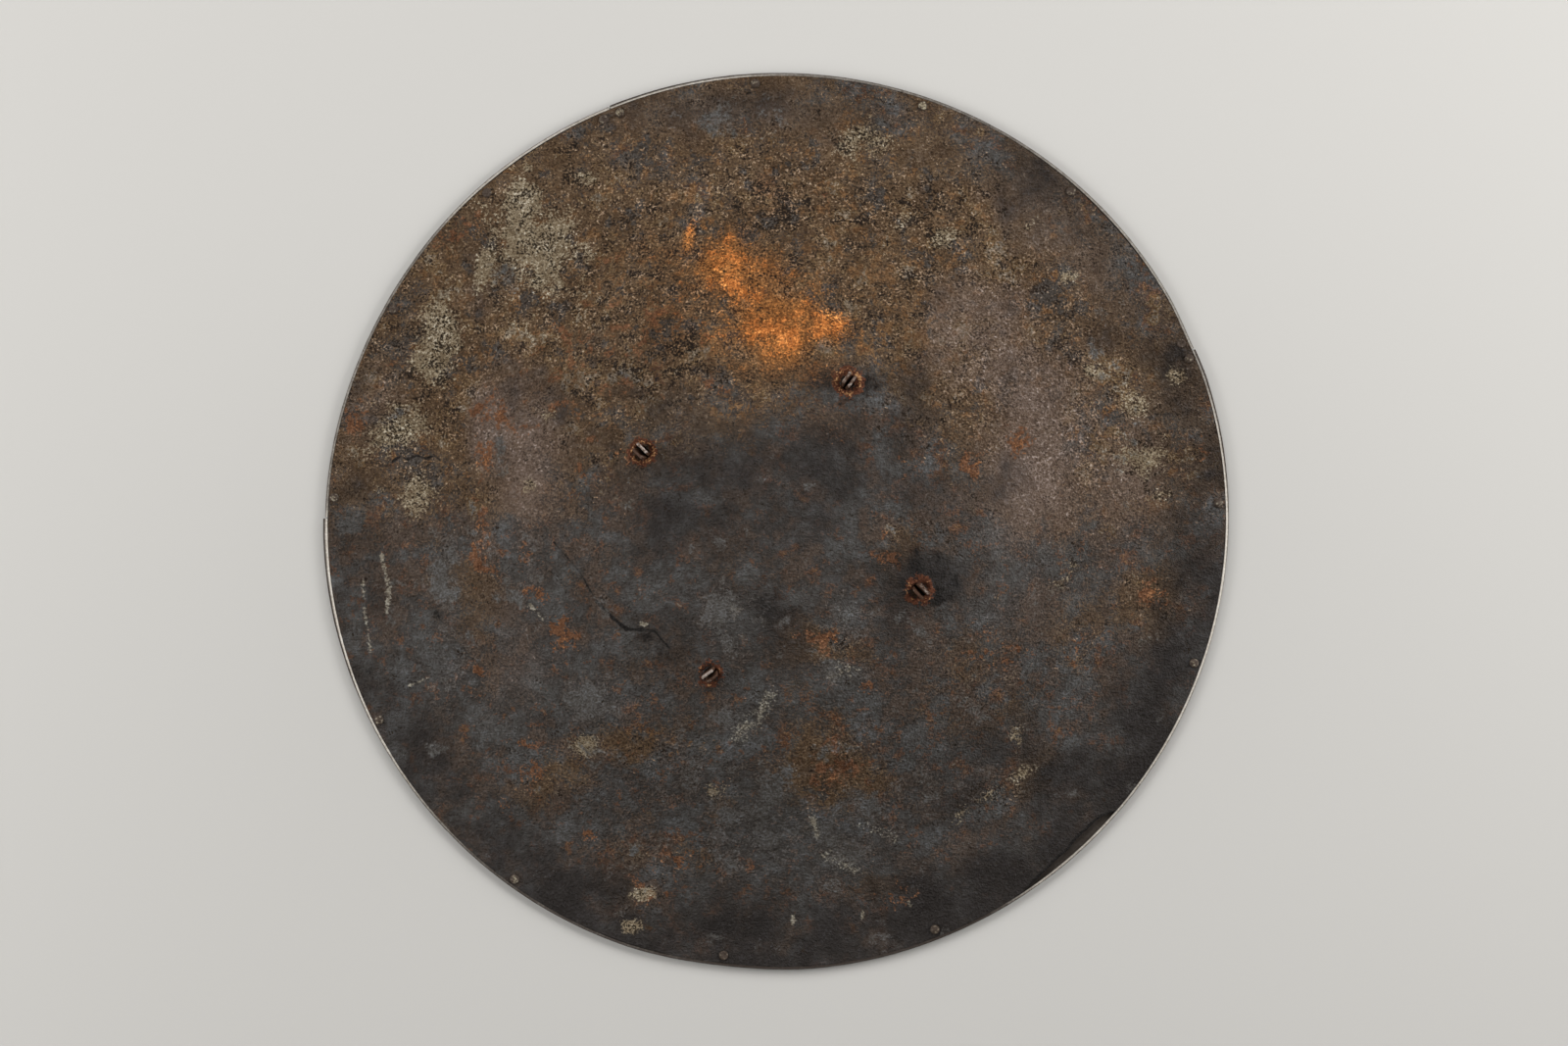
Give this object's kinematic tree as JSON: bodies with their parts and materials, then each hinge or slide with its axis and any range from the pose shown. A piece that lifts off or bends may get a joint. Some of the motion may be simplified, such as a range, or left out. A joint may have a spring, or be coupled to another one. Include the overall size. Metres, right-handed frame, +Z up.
{
  "type": "round shield",
  "caption": "Round domed shield of corroded sheet iron with a flared brim, a riveted L-section edging, a broken stretch of edge, and split pins for lost bosses and handles.",
  "frame": {"origin": "on the ground, under the middle of the dome; the shield lies on its rim", "axes": "+Z up through the crown of the outer face, +X to the right and +Y to the top of the face as the picture shows it"},
  "size_m": [0.4527, 0.448, 0.0639],
  "materials": {
    "plate_iron": "satin",
    "rim_iron": "satin",
    "rivet_iron": "satin",
    "pin_iron": "matte"
  },
  "bodies": {
    "root": {"shield_plate": "plate_iron", "rim_strip_1": "rim_iron", "rim_strip_2": "rim_iron", "rim_strip_3": "rim_iron", "rim_rivet_01": "rivet_iron", "rim_rivet_02": "rivet_iron", "rim_rivet_03": "rivet_iron", "rim_rivet_04": "rivet_iron", "rim_rivet_05": "rivet_iron", "rim_rivet_06": "rivet_iron", "rim_rivet_07": "rivet_iron", "rim_rivet_08": "rivet_iron", "rim_rivet_09": "rivet_iron", "rim_rivet_10": "rivet_iron", "rim_rivet_11": "rivet_iron", "rim_rivet_12": "rivet_iron", "rim_rivet_13": "rivet_iron", "rim_rivet_14": "rivet_iron", "rim_rivet_15": "rivet_iron", "rim_rivet_16": "rivet_iron", "handle_pin_1": "pin_iron", "handle_pin_2": "pin_iron", "handle_pin_3": "pin_iron", "handle_pin_4": "pin_iron"}
  },
  "joints": []
}
